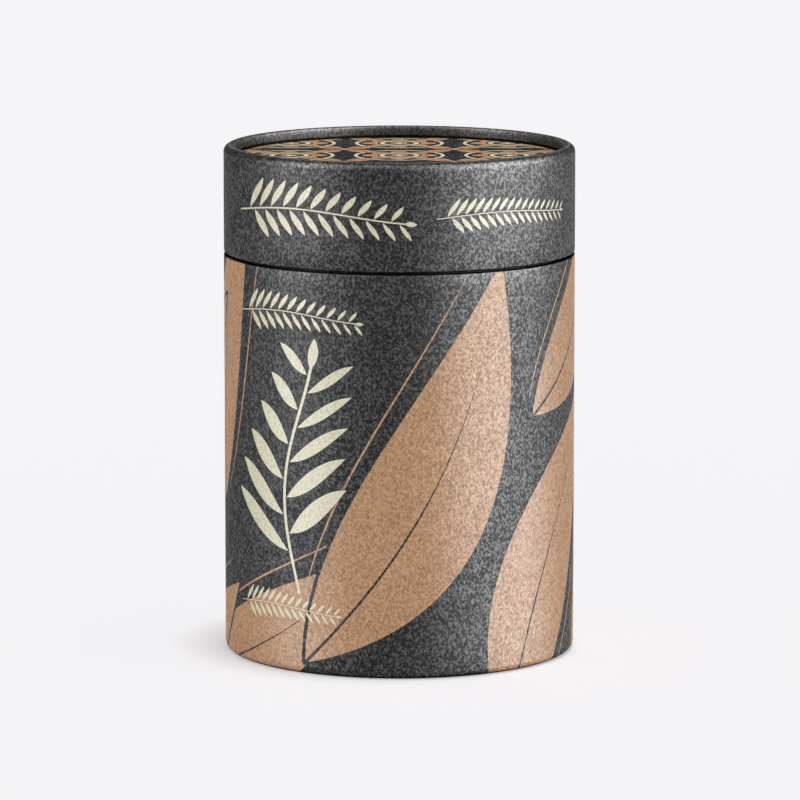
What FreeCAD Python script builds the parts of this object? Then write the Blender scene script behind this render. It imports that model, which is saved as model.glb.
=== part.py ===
import FreeCAD, Part, Sketcher
import os

# Cylindrical gift tube box of wrapped greyboard.
# Two wound board tubes of one diameter, a body and a lid, meet at a narrow seam. Each is
# rolled over at its closed end, where the curl grips a disc faced with paper, and has its
# outer wrap turned in over its open end. A full-length neck glued inside the body stands
# up past the seam and guides the lid, which lifts straight off.
# Millimetres, +Z up, origin at the centre of the foot.

DRIVING_SIZES = {
    # the whole box
    "outer_diameter": 83.0,
    "body_height": 94.7,
    "lid_height": 25.3,
    "seam_gap": 0.4,
    # sheet stock
    "wall_board": 1.0,
    "neck_board": 1.0,
    "disc_board": 1.5,
    "wrap_paper": 0.2,
    "neck_paper": 0.2,
    "facing_paper": 0.2,
    "lining_paper": 0.15,
    # fits
    "glue_line": 0.05,
    "slide_clearance": 0.25,
    "seat_gap": 0.05,
    # rolled rim and foot
    "rim_depth": 2.8,
    "curl_slit": 0.2,
    "curl_land": 0.4,
    "curl_bend": 0.3,
    # open ends
    "edge_bevel": 0.2,
    "turn_in": 8.0,
    # overlap of each wrap on itself, down the back
    "lap_width": 8.0,
    "lap_ramp": 2.0,
}

# Radii, depths and levels that follow from the driving sizes, from the outside inwards
# and then from the floor upwards.
DERIVED_SIZES = {
    "outside": "Sizes.outer_diameter / 2",
    "skin": "Sizes.wrap_paper + Sizes.glue_line",
    "wrap_inside": "outside - Sizes.wrap_paper",
    "board_outside": "outside - skin",
    "board_inside": "board_outside - Sizes.wall_board",
    "bore": "board_inside - Sizes.glue_line",
    "turned_inside": "bore - Sizes.wrap_paper",
    "lining_inside": "bore - Sizes.lining_paper",
    "fold_outside": "board_outside - Sizes.edge_bevel",
    "fold_inside": "board_inside + Sizes.edge_bevel",
    "fold_depth": "skin + Sizes.edge_bevel",
    # the curl, from the wall round to its pressed-in leg
    "wall": "outside - board_inside",
    "curl_width": "2 * wall + Sizes.curl_slit",
    "curl_small": "skin + Sizes.curl_bend",
    "curl_large": "curl_width - Sizes.curl_land - curl_small",
    "crest_outside": "outside - curl_large",
    "crest_inside": "crest_outside - Sizes.curl_land",
    "curl_inside": "outside - curl_width",
    "leg_paper": "curl_inside + Sizes.wrap_paper",
    "leg_inside": "curl_inside + skin",
    "leg_outside": "leg_inside + Sizes.wall_board",
    "leg_depth": "Sizes.rim_depth - Sizes.glue_line",
    # the neck
    "neck_skin": "Sizes.neck_paper + Sizes.glue_line",
    "neck_outside": "min(turned_inside; lining_inside) - Sizes.slide_clearance",
    "neck_paper_inside": "neck_outside - Sizes.neck_paper",
    "neck_board_outside": "neck_outside - neck_skin",
    "neck_board_inside": "neck_board_outside - Sizes.neck_board",
    "neck_bore": "neck_board_inside - Sizes.glue_line",
    "neck_turned_inside": "neck_bore - Sizes.neck_paper",
    "neck_lining_inside": "neck_bore - Sizes.lining_paper",
    "neck_fold_outside": "neck_board_outside - Sizes.edge_bevel",
    "neck_fold_inside": "neck_board_inside + Sizes.edge_bevel",
    "neck_fold_depth": "neck_skin + Sizes.edge_bevel",
    # levels in the base
    "base_board_bottom": "Sizes.rim_depth + Sizes.facing_paper + Sizes.glue_line",
    "base_board_top": "base_board_bottom + Sizes.disc_board",
    "base_lining_bottom": "base_board_top + Sizes.glue_line",
    "base_lining_top": "base_lining_bottom + Sizes.lining_paper",
    "neck_foot": "base_lining_top + Sizes.glue_line",
    # levels in the lid
    "lid_edge": "Sizes.body_height + Sizes.seam_gap",
    "lid_top": "lid_edge + Sizes.lid_height",
    "lid_facing_top": "lid_top - Sizes.rim_depth",
    "lid_facing_bottom": "lid_facing_top - Sizes.facing_paper",
    "lid_board_top": "lid_facing_bottom - Sizes.glue_line",
    "lid_board_bottom": "lid_board_top - Sizes.disc_board",
    "lid_lining_top": "lid_board_bottom - Sizes.glue_line",
    "lid_lining_bottom": "lid_lining_top - Sizes.lining_paper",
    "neck_top": "lid_lining_bottom - Sizes.seat_gap",
}

ORIGIN_POINT = (-1, 1)
GROUND_LINE = -1
START, END, CENTRE = 1, 2, 3

doc = FreeCAD.newDocument("gift_tube_box")


def add_sheet(name, cells):
    sheet = doc.addObject("Spreadsheet::Sheet", name)
    for row, (alias, content) in enumerate(cells.items(), start=1):
        sheet.set(f"A{row}", alias)
        sheet.set(f"B{row}", content)
        sheet.setAlias(f"B{row}", alias)
    doc.recompute()
    return sheet


sizes = add_sheet("Sizes", {alias: str(size) for alias, size in DRIVING_SIZES.items()})
stack = add_sheet("Stack", {alias: f"={formula}" for alias, formula in DERIVED_SIZES.items()})


def measure(expression):
    return float(stack.evalExpression(expression))


def bind(sketch, constraint, expression):
    index = sketch.addConstraint(constraint)
    sketch.setExpression(f"Constraints[{index}]", expression)


def add_sketch(body, name, plane_role):
    sketch = body.newObject("Sketcher::SketchObject", name)
    plane = next(item for item in body.Origin.OriginFeatures if item.Role == plane_role)
    sketch.AttachmentSupport = [(plane, "")]
    sketch.MapMode = "FlatFace"
    return sketch


def tangent_arc(start, end, heading):
    """The arc from start to end that leaves start along heading, and whether it turns left."""
    chord = end - start
    left = FreeCAD.Vector(-heading.y, heading.x, 0)
    centre = start + left * (chord.Length ** 2 / (2 * chord.dot(left)))
    turns_left = chord.dot(left) > 0
    first, last = (start, end) if turns_left else (end, start)
    circle = Part.Circle(centre, FreeCAD.Vector(0, 0, 1), (start - centre).Length)
    arc = Part.ArcOfCircle(circle, circle.parameter(first), circle.parameter(last))
    return arc, turns_left


def straight(radius, height):
    """A corner from which the outline goes straight on to the next one."""
    return radius, height, False


def rounded(radius, height):
    """A corner from which the outline goes on in an arc, tangent to the run before it."""
    return radius, height, True


def turned_piece(label, outline):
    """A ring of the box: a closed outline of (radius, height) corners turned about the axis.

    A height of None is the floor.
    """
    body = doc.addObject("PartDesign::Body", label)
    sketch = add_sketch(body, f"{label}_section", "XZ_Plane")
    corners = [
        FreeCAD.Vector(measure(radius), 0 if height is None else measure(height), 0)
        for radius, height, _ in outline
    ]
    entries, exits = [], []
    for index, (_, _, is_round) in enumerate(outline):
        start, end = corners[index], corners[(index + 1) % len(corners)]
        if is_round:
            heading = (start - corners[index - 1]).normalize()
            arc, turns_left = tangent_arc(start, end, heading)
            geometry = sketch.addGeometry(arc)
            ends = (START, END) if turns_left else (END, START)
        else:
            geometry = sketch.addGeometry(Part.LineSegment(start, end))
            ends = (START, END)
        entries.append((geometry, ends[0]))
        exits.append((geometry, ends[1]))
    for index, (radius, height, is_round) in enumerate(outline):
        joint = "Tangent" if is_round else "Coincident"
        sketch.addConstraint(Sketcher.Constraint(joint, *exits[index - 1], *entries[index]))
        corner = corners[index]
        bind(sketch, Sketcher.Constraint("DistanceX", *ORIGIN_POINT, *entries[index], corner.x), radius)
        if height is None:
            sketch.addConstraint(Sketcher.Constraint("PointOnObject", *entries[index], GROUND_LINE))
        else:
            bind(sketch, Sketcher.Constraint("DistanceY", *ORIGIN_POINT, *entries[index], corner.y), height)
    turn = body.newObject("PartDesign::Revolution", f"{label}_turn")
    turn.Profile = sketch
    turn.ReferenceAxis = (sketch, ["V_Axis"])
    turn.Angle = 360
    return body


def plain_ring(label, inside, outside, bottom, top):
    """A ply of paper with square-cut ends."""
    return turned_piece(label, [
        straight(inside, bottom),
        straight(outside, bottom),
        straight(outside, top),
        straight(inside, top),
    ])


def disc(label, radius, bottom, thickness):
    """A round blank cut from flat sheet."""
    body = doc.addObject("PartDesign::Body", label)
    sketch = add_sketch(body, f"{label}_outline", "XY_Plane")
    sketch.setExpression("AttachmentOffset.Base.z", bottom)
    size = measure(radius)
    circle = sketch.addGeometry(Part.Circle(FreeCAD.Vector(), FreeCAD.Vector(0, 0, 1), size))
    sketch.addConstraint(Sketcher.Constraint("Coincident", circle, CENTRE, *ORIGIN_POINT))
    bind(sketch, Sketcher.Constraint("Radius", circle, size), radius)
    blank = body.newObject("PartDesign::Pad", f"{label}_blank")
    blank.Profile = sketch
    blank.setExpression("Length", thickness)
    return body


def wrap_outline(crest, edge):
    """Paper round a tube: turned in over the open edge, and rolled with the curl at the crest.

    crest and edge give the height at a depth below the rolled end and the open end.
    """
    return [
        # outer face, from the turned-in flap to the end of the curl's leg
        straight("Stack.turned_inside", edge("Sizes.turn_in")),
        rounded("Stack.turned_inside", edge("Stack.fold_depth")),
        straight("Stack.fold_inside", edge("0")),
        rounded("Stack.fold_outside", edge("0")),
        straight("Stack.outside", edge("Stack.fold_depth")),
        rounded("Stack.outside", crest("Stack.curl_large")),
        straight("Stack.crest_outside", crest(None)),
        rounded("Stack.crest_inside", crest(None)),
        straight("Stack.curl_inside", crest("Stack.curl_small")),
        straight("Stack.curl_inside", crest("Stack.leg_depth")),
        # inner face, back to the flap
        straight("Stack.leg_paper", crest("Stack.leg_depth")),
        rounded("Stack.leg_paper", crest("Stack.curl_small")),
        straight("Stack.crest_inside", crest("Sizes.wrap_paper")),
        rounded("Stack.crest_outside", crest("Sizes.wrap_paper")),
        straight("Stack.wrap_inside", crest("Stack.curl_large")),
        straight("Stack.wrap_inside", edge("Stack.fold_depth")),
        straight("Stack.fold_outside", edge("Sizes.wrap_paper")),
        straight("Stack.fold_inside", edge("Sizes.wrap_paper")),
        straight("Stack.bore", edge("Stack.fold_depth")),
        straight("Stack.bore", edge("Sizes.turn_in")),
    ]


def board_outline(crest, edge):
    """Wound board with a bevelled open edge, rolled over at the crest down to its leg."""
    return [
        straight("Stack.board_inside", edge("Stack.fold_depth")),
        straight("Stack.fold_inside", edge("Stack.skin")),
        straight("Stack.fold_outside", edge("Stack.skin")),
        straight("Stack.board_outside", edge("Stack.fold_depth")),
        rounded("Stack.board_outside", crest("Stack.curl_large")),
        straight("Stack.crest_outside", crest("Stack.skin")),
        rounded("Stack.crest_inside", crest("Stack.skin")),
        straight("Stack.leg_inside", crest("Stack.curl_small")),
        straight("Stack.leg_inside", crest("Stack.leg_depth")),
        straight("Stack.leg_outside", crest("Stack.leg_depth")),
        straight("Stack.leg_outside", crest("Stack.wall")),
        straight("Stack.board_inside", crest("Stack.wall")),
    ]


def add_lap(body, bottom, top):
    """The strip where a wrap's end overlaps its start, down the straight wall at the back."""
    sketch = add_sketch(body, f"{body.Label}_lap", "XY_Plane")
    sketch.setExpression("AttachmentOffset.Base.z", bottom)
    half_width = "Sizes.lap_width / 2"
    ramp_top = "Sizes.lap_width / 2 - Sizes.lap_ramp"
    left_end = measure(half_width)
    arcs = []
    for radius, reach in (
        ("Stack.outside - Sizes.wrap_paper / 2", half_width),
        ("Stack.outside + Sizes.wrap_paper", ramp_top),
    ):
        size, right_end = measure(radius), measure(reach)
        circle = Part.Circle(FreeCAD.Vector(), FreeCAD.Vector(0, 0, 1), size)
        right = FreeCAD.Vector(right_end, (size ** 2 - right_end ** 2) ** 0.5, 0)
        left = FreeCAD.Vector(-left_end, (size ** 2 - left_end ** 2) ** 0.5, 0)
        arc = sketch.addGeometry(Part.ArcOfCircle(circle, circle.parameter(right), circle.parameter(left)))
        sketch.addConstraint(Sketcher.Constraint("Coincident", arc, CENTRE, *ORIGIN_POINT))
        bind(sketch, Sketcher.Constraint("Radius", arc, size), radius)
        bind(sketch, Sketcher.Constraint("DistanceX", *ORIGIN_POINT, arc, START, right_end), reach)
        bind(sketch, Sketcher.Constraint("DistanceX", arc, END, *ORIGIN_POINT, left_end), half_width)
        arcs.append((arc, right, left))
    (inner, inner_right, inner_left), (outer, outer_right, outer_left) = arcs
    for side, inner_point, outer_point in ((START, inner_right, outer_right), (END, inner_left, outer_left)):
        line = sketch.addGeometry(Part.LineSegment(inner_point, outer_point))
        sketch.addConstraint(Sketcher.Constraint("Coincident", line, START, inner, side))
        sketch.addConstraint(Sketcher.Constraint("Coincident", line, END, outer, side))
    strip = body.newObject("PartDesign::Pad", f"{body.Label}_strip")
    strip.Profile = sketch
    strip.setExpression("Length", f"{top} - ({bottom})")
    return body


def foot_crest(depth):
    return depth


def lid_crest(depth):
    return "Stack.lid_top" if depth is None else f"Stack.lid_top - ({depth})"


def body_edge(depth):
    return f"Sizes.body_height - ({depth})"


def lid_edge(depth):
    return f"Stack.lid_edge + ({depth})"


def neck_edge(depth):
    return f"Stack.neck_top - ({depth})"


def make_body():
    lap_bottom, lap_top = foot_crest("Stack.curl_large"), body_edge("Stack.fold_depth")
    lining_top = body_edge("Sizes.turn_in + Sizes.glue_line")
    return [
        turned_piece("body_tube", board_outline(foot_crest, body_edge)),
        add_lap(turned_piece("body_wrap", wrap_outline(foot_crest, body_edge)), lap_bottom, lap_top),
        plain_ring("body_lining", "Stack.lining_inside", "Stack.bore", "Stack.neck_foot", lining_top),
        disc("base_facing", "Stack.bore", "Sizes.rim_depth", "Sizes.facing_paper"),
        disc("base_disc", "Stack.bore", "Stack.base_board_bottom", "Sizes.disc_board"),
        disc("base_lining", "Stack.bore", "Stack.base_lining_bottom", "Sizes.lining_paper"),
    ]


def make_neck():
    neck_wrap = [
        straight("Stack.neck_turned_inside", neck_edge("Sizes.turn_in")),
        rounded("Stack.neck_turned_inside", neck_edge("Stack.neck_fold_depth")),
        straight("Stack.neck_fold_inside", neck_edge("0")),
        rounded("Stack.neck_fold_outside", neck_edge("0")),
        straight("Stack.neck_outside", neck_edge("Stack.neck_fold_depth")),
        straight("Stack.neck_outside", "Stack.neck_foot"),
        straight("Stack.neck_paper_inside", "Stack.neck_foot"),
        straight("Stack.neck_paper_inside", neck_edge("Stack.neck_fold_depth")),
        straight("Stack.neck_fold_outside", neck_edge("Sizes.neck_paper")),
        straight("Stack.neck_fold_inside", neck_edge("Sizes.neck_paper")),
        straight("Stack.neck_bore", neck_edge("Stack.neck_fold_depth")),
        straight("Stack.neck_bore", neck_edge("Sizes.turn_in")),
    ]
    neck_tube = [
        straight("Stack.neck_board_inside", "Stack.neck_foot"),
        straight("Stack.neck_board_outside", "Stack.neck_foot"),
        straight("Stack.neck_board_outside", neck_edge("Stack.neck_fold_depth")),
        straight("Stack.neck_fold_outside", neck_edge("Stack.neck_skin")),
        straight("Stack.neck_fold_inside", neck_edge("Stack.neck_skin")),
        straight("Stack.neck_board_inside", neck_edge("Stack.neck_fold_depth")),
    ]
    inside, outside = "Stack.neck_lining_inside", "Stack.neck_bore"
    lining_top = neck_edge("Sizes.turn_in + Sizes.glue_line")
    return [
        turned_piece("neck_tube", neck_tube),
        turned_piece("neck_wrap", neck_wrap),
        plain_ring("neck_lining", inside, outside, "Stack.neck_foot", lining_top),
    ]


def make_lid():
    lap_bottom, lap_top = lid_edge("Stack.fold_depth"), lid_crest("Stack.curl_large")
    lining_bottom = lid_edge("Sizes.turn_in + Sizes.glue_line")
    lining_top = "Stack.lid_lining_bottom - Sizes.glue_line"
    return [
        turned_piece("lid_tube", board_outline(lid_crest, lid_edge)),
        add_lap(turned_piece("lid_wrap", wrap_outline(lid_crest, lid_edge)), lap_bottom, lap_top),
        plain_ring("lid_lining", "Stack.lining_inside", "Stack.bore", lining_bottom, lining_top),
        disc("lid_facing", "Stack.bore", "Stack.lid_facing_bottom", "Sizes.facing_paper"),
        disc("lid_disc", "Stack.bore", "Stack.lid_board_bottom", "Sizes.disc_board"),
        disc("lid_disc_lining", "Stack.bore", "Stack.lid_lining_bottom", "Sizes.lining_paper"),
    ]


def check_document(pieces):
    doc.recompute()
    for item in doc.Objects:
        if "Invalid" in item.State or "Error" in item.State:
            raise RuntimeError(f"{item.Label} did not recompute: {item.State}")
    for piece in pieces:
        if piece.Shape.isNull() or not piece.Shape.isValid() or len(piece.Shape.Solids) != 1:
            raise RuntimeError(f"{piece.Label} is not one valid solid")


def write_parts(pieces):
    os.makedirs("parts", exist_ok=True)
    for piece in pieces:
        piece.Shape.exportStep(os.path.join("parts", f"{piece.Label}.step"))
        box = piece.Shape.BoundBox
        print(f"{piece.Label}: {piece.Shape.Volume:.1f} mm3, z {box.ZMin:.2f} to {box.ZMax:.2f}")


pieces = make_body() + make_neck() + make_lid()
check_document(pieces)
write_parts(pieces)
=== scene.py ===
"""Looks of a gift tube box: printed kraft papers over wound board, and a flush lid on an inner neck."""

import math

import bpy
from bpy.props import FloatProperty, FloatVectorProperty, IntProperty, PointerProperty
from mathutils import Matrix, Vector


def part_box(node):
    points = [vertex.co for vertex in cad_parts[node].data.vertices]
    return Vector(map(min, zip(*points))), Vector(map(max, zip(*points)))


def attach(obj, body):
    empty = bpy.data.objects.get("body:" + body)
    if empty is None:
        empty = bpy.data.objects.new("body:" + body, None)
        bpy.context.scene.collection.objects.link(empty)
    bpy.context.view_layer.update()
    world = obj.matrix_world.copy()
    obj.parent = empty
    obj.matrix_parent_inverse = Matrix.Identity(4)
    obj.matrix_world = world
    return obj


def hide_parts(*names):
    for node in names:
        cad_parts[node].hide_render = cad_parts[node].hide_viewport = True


bl_info = {
    "name": "Gift tube box papers",
    "version": (1, 0, 0),
    "blender": (4, 5, 0),
    "location": "View3D > Sidebar > Gift Tube",
    "description": "Models and prints the papers of a cylindrical gift tube box around its packed frame",
    "category": "Object",
}

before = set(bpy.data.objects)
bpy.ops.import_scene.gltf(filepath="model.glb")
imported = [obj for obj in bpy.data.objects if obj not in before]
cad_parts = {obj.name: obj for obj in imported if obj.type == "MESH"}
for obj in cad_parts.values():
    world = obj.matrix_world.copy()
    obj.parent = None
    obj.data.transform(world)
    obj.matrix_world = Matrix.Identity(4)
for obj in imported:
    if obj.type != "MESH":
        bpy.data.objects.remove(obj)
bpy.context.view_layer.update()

TUBE_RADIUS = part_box("body_wrap")[1].x
MILLIMETRES = 1000.0
WALL_RADIUS = TUBE_RADIUS * MILLIMETRES
AROUND = 2 * math.pi * WALL_RADIUS
LAP_WIDTH = 0.008
LAP_TURN = math.asin(LAP_WIDTH / 2 / TUBE_RADIUS) - math.pi
LAP_END = LAP_TURN * WALL_RADIUS + AROUND

# meshes, in m: rings on a wall, waves in the glued paper and the edge they leave still
RING_SPACING = 0.004
WRAP_WAVES, LINING_WAVES = 0.012, 0.015
STILL_EDGE = 0.002
EASED_EDGE = 0.00004
# steps in each bend, rings on a disc, and the least share of the lap's rise, which keeps its faces open
FOLD_STEPS, CREST_STEPS, LEG_STEPS = 5, 10, 6
DISC_RINGS = 8
LEAST_RISE = 0.02
SMOOTH_ANGLE, CORNER_ANGLE = math.radians(38), math.radians(50)

# papers: depth of the relief in m, then the coat on bare paper, its fibres, ink and inked fibres
PAPER_RELIEF, BOARD_RELIEF = 0.000016, 0.00002
BARE_COAT, FIBRE_COAT, INK_COAT, INKED_FIBRE_COAT = 0.12, 0.19, 0.065, 0.05
COAT_ROUGHNESS, COAT_IOR = 0.4, 1.5
# strength of the painted shade at the folded edges, down the leg and in its nook
PAINTED_SHADE_STRENGTH = 0.93

# rolled rim and foot, in mm: by radius, with the painted highlight along the crest and the painted light down
# the curl's leg, then by depth under the crest, with the painted shade down the leg and in its nook
WALL_SIDE = WALL_RADIUS - 0.6
CREST_HIGHLIGHT, CREST_HIGHLIGHT_FADE = WALL_RADIUS - 1.45, (0.12, 0.42)
LEG_LIGHT = (WALL_RADIUS - 2.5, WALL_RADIUS - 1.7)
GATHERED_PAPER = (WALL_RADIUS - 2.6, WALL_RADIUS - 1.2)
LEG_SIDE = WALL_RADIUS - 2.4
LEG_SHADE, NOOK_SHADE = (0.3, 1.5), (1.9, 2.35)
# print and painted shade, in mm: reach of the painted shade at seam and foot, the lap's raw edge and the
# painted shadow by its step, discs and windings
SEAM_REACH, FOOT_REACH = 0.4, 1.0
LAP_EDGE, LAP_STEP_SHADOW = 0.16, 0.14
ROSETTE_PITCH, PRINTED_DISC = 26.0, 38.3
LINING_WINDING, WINDING_SLOPE = 62.0, 1.5

# stage, in m and degrees: each strip's turn from the front and its width
FLOOR_RADIUS = 60.0
SUN_PLACE, SUN_ANGLE = (0.07, -0.03, 1.6), 9
PANEL_PLACE, PANEL_WIDTH, PANEL_LENGTH = (0, -2.2, 4.0), 6.0, 4.5
STRIP_DISTANCE, STRIP_MIDDLE, STRIP_LENGTH = 5.0, 3.0, 9.6
RIGHT_STRIP, LEFT_STRIP = (72, 7.4), (-69, 3.5)

FLOAT, COLOUR, VECTOR = "NodeSocketFloat", "NodeSocketColor", "NodeSocketVector"
MOTIF_ENTRIES = ("Around", "Height", "Place around", "Place height", "Tilt")

# leaf blades on the body: place around, height, tilt in degrees, half length, half width, bow (mm)
BODY_BLADES = (
    (-34, 7, 28, 38, 11.0, 7),
    (64, 85, 50, 38, 12.0, 6),
    (-57, 74, 76, 37, 11.0, -7),
    (42, 28, 62, 48, 14.0, -8),
    (9, 46, 63, 53, 15.5, 9),
    (-74, 0, 24, 32, 10.0, 6),
    (128, 4, 30, 34, 10.5, 6),
    (-86, 50, 60, 46, 13.5, -8),
    (117, 66, 58, 46, 13.5, -8),
    (-114, 26, 64, 48, 14.0, 9),
    (86, 36, 66, 52, 15.0, 9),
)
# cream branches: place around and height of the root, tilt in degrees, then length, leaf length,
# leaf width and pitch (mm)
BODY_BRANCHES = (
    (-26, 24, 88, 50, 16.5, 5.6, 8.4),
    (-43, 84, 0, 34, 4.6, 1.7, 2.7),
    (-44, 15, 0, 30, 3.6, 1.3, 2.1),
    (92, 27, 88, 46, 13.0, 4.6, 7.2),
    (80, 84, 0, 34, 4.6, 1.7, 2.7),
)
LID_BRANCHES = (
    (-43, 107.6, 0, 46, 6.6, 2.5, 3.9),
    (10, 107.6, 0, 38, 3.8, 1.4, 2.2),
    (72, 107.6, 0, 46, 6.6, 2.5, 3.9),
    (125, 107.6, 0, 38, 3.8, 1.4, 2.2),
)


class TubePapers(bpy.types.PropertyGroup):
    """Sizes of the papers that Blender models."""

    wrap_thickness: FloatProperty(
        name="Wrap thickness", description="Thickness of the printed wraps and facings",
        default=0.0002, unit="LENGTH", precision=5)
    lining_thickness: FloatProperty(
        name="Lining thickness", description="Thickness of the linings",
        default=0.00015, unit="LENGTH", precision=5)
    edge_width: FloatProperty(
        name="Edge width", description="Width of the folded open edge, papers and board together",
        default=0.0015, unit="LENGTH", precision=5)
    fold_radius: FloatProperty(
        name="Fold radius", description="Outer radius of the paper's folds over an open edge",
        default=0.00045, unit="LENGTH", precision=5)
    turn_in: FloatProperty(
        name="Turn-in", description="Length of paper turned in over an open edge",
        default=0.008, unit="LENGTH", precision=4)
    curl_width: FloatProperty(
        name="Curl width", description="Width of the rolled rim from outside to leg",
        default=0.0027, unit="LENGTH", precision=5)
    curl_outer: FloatProperty(
        name="Curl outer radius", description="Radius of the rolled rim's outer bend",
        default=0.00175, unit="LENGTH", precision=5)
    curl_inner: FloatProperty(
        name="Curl inner radius", description="Radius of the rolled rim's inner bend",
        default=0.00055, unit="LENGTH", precision=5)
    curl_leg: FloatProperty(
        name="Curl leg", description="Depth from the crest to the end of the curl's leg",
        default=0.00275, unit="LENGTH", precision=5)
    lap_width: FloatProperty(
        name="Lap width", description="Width of the strip where a wrap's end lies over its start",
        default=LAP_WIDTH, unit="LENGTH", precision=4)
    lap_ramp: FloatProperty(
        name="Lap ramp", description="Length over which the lap rises over the sheet's start",
        default=0.002, unit="LENGTH", precision=4)
    waviness: FloatProperty(
        name="Waviness", description="Depth of the slow waves in the glued paper",
        default=0.00005, unit="LENGTH", precision=5)
    segments: IntProperty(
        name="Segments", description="Steps around each turned paper", default=512, min=64, max=1024)


class TubePrint(bpy.types.PropertyGroup):
    """Colours of the papers and inks."""

    kraft: FloatVectorProperty(
        name="Kraft", description="Bare kraft paper", default=(0.46, 0.265, 0.142, 1.0),
        size=4, subtype="COLOR")
    inner_kraft: FloatVectorProperty(
        name="Inner kraft", description="Kraft paper of the linings",
        default=(0.42, 0.275, 0.165, 1.0), size=4, subtype="COLOR")
    neck: FloatVectorProperty(
        name="Neck", description="Dyed paper of the neck", default=(0.020, 0.020, 0.021, 1.0),
        size=4, subtype="COLOR")
    charcoal: FloatVectorProperty(
        name="Charcoal", description="Dark ground of the print", default=(0.003, 0.003, 0.0033, 1.0),
        size=4, subtype="COLOR")
    fleck: FloatVectorProperty(
        name="Fleck", description="Fibres that show through the dark ground",
        default=(0.062, 0.062, 0.064, 1.0), size=4, subtype="COLOR")
    # painted light: a paler ground that stands for the highlight along the rim's crest and the light down the
    # curl's leg
    thin_ink: FloatVectorProperty(
        name="Thin ink", description="Paler ground painted as a highlight on the crest and light down the curl's leg",
        default=(0.150, 0.144, 0.139, 1.0), size=4, subtype="COLOR")
    cream: FloatVectorProperty(
        name="Cream", description="Light ink of the branches", default=(0.74, 0.70, 0.50, 1.0),
        size=4, subtype="COLOR")
    greyboard: FloatVectorProperty(
        name="Greyboard", description="Wound board of the tubes and discs", default=(0.30, 0.27, 0.23, 1.0),
        size=4, subtype="COLOR")
    blade_gap: FloatProperty(
        name="Blade gap", description="Dark gap between blades that overlap, in mm", default=0.9)


class TubeStage(bpy.types.PropertyGroup):
    """Camera and light."""

    camera_distance: FloatProperty(
        name="Camera distance", description="Distance of the camera in front of the tube's axis",
        default=1.2775, unit="LENGTH")
    camera_height: FloatProperty(
        name="Camera height", description="Height of the camera over the floor",
        default=0.26236, unit="LENGTH")
    camera_pitch: FloatProperty(
        name="Camera pitch", description="How far the camera looks down",
        default=math.radians(9.039), subtype="ANGLE")
    camera_lens: FloatProperty(
        name="Lens", description="Focal length on a 36 mm sensor, in mm", default=244.94)
    camera_shift: FloatProperty(name="Shift", description="Sideways shift of the picture", default=0.00075)
    floor_colour: FloatVectorProperty(
        name="Floor", description="Colour of the floor", default=(0.916, 0.908, 0.934, 1.0),
        size=4, subtype="COLOR")
    floor_glow: FloatProperty(
        name="Floor glow", description="Share of the floor's white that no shadow reaches", default=0.45)
    horizon_strength: FloatProperty(
        name="Low light", description="Strength of the light from all around, near the horizon", default=1.1)
    zenith_strength: FloatProperty(
        name="High light", description="Strength of the light from above", default=0.165)
    sun_strength: FloatProperty(
        name="Sun", description="Strength of the soft overhead light", default=1.85)
    right_sheen: FloatProperty(
        name="Right sheen", description="Power of the right strip, in W", default=7700.0)
    left_sheen: FloatProperty(
        name="Left sheen", description="Power of the left strip, in W", default=2700.0)
    top_sheen: FloatProperty(
        name="Top sheen", description="Power of the panel overhead, in W", default=560.0)


def begin(piece_name):
    """Leaves nothing selected, so that operators act on the new piece alone."""
    if bpy.context.mode != "OBJECT":
        bpy.ops.object.mode_set(mode="OBJECT")
    bpy.ops.object.select_all(action="DESELECT")
    if piece_name in bpy.data.objects:
        raise RuntimeError(f"{piece_name} is already modelled")


def quarter_bend(start, end, upright_first, steps):
    """Points of a quarter turn between two (radius, height) points, without the first."""
    points = []
    for step in range(1, steps + 1):
        turn = math.pi / 2 * step / steps
        if upright_first:
            share_out, share_up = 1 - math.cos(turn), math.sin(turn)
        else:
            share_out, share_up = math.sin(turn), 1 - math.cos(turn)
        radius = start[0] + (end[0] - start[0]) * share_out
        height = start[1] + (end[1] - start[1]) * share_up
        points.append((radius, height))
    return points


def straight_run(start, end):
    """Points of a straight run between two (radius, height) points, without the first."""
    steps = max(1, round(math.dist(start, end) / RING_SPACING))
    return [
        (start[0] + (end[0] - start[0]) * step / steps, start[1] + (end[1] - start[1]) * step / steps)
        for step in range(1, steps + 1)
    ]


def folded_edge(papers, outside, open_edge, up):
    """Turned-in edge as (radius, height), from the end of its flap round to the outer wall."""
    fold, flap = papers.fold_radius, outside - papers.edge_width
    path = [(flap, open_edge + up * papers.turn_in)]
    path += straight_run(path[-1], (flap, open_edge + up * fold))
    path += quarter_bend(path[-1], (flap + fold, open_edge), True, FOLD_STEPS)
    path.append((outside - fold, open_edge))
    path += quarter_bend(path[-1], (outside, open_edge + up * fold), False, FOLD_STEPS)
    return path


def wrap_path(papers, open_edge, crest):
    """Outer face of a wrap as (radius, height), from its turned-in flap to the end of the curl's leg."""
    up = 1 if crest > open_edge else -1
    leg = TUBE_RADIUS - papers.curl_width
    path = folded_edge(papers, TUBE_RADIUS, open_edge, up)
    path += straight_run(path[-1], (TUBE_RADIUS, crest - up * papers.curl_outer))
    path += quarter_bend(path[-1], (TUBE_RADIUS - papers.curl_outer, crest), True, CREST_STEPS)
    path.append((leg + papers.curl_inner, crest))
    path += quarter_bend(path[-1], (leg, crest - up * papers.curl_inner), False, LEG_STEPS)
    path.append((leg, crest - up * papers.curl_leg))
    return path


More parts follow.
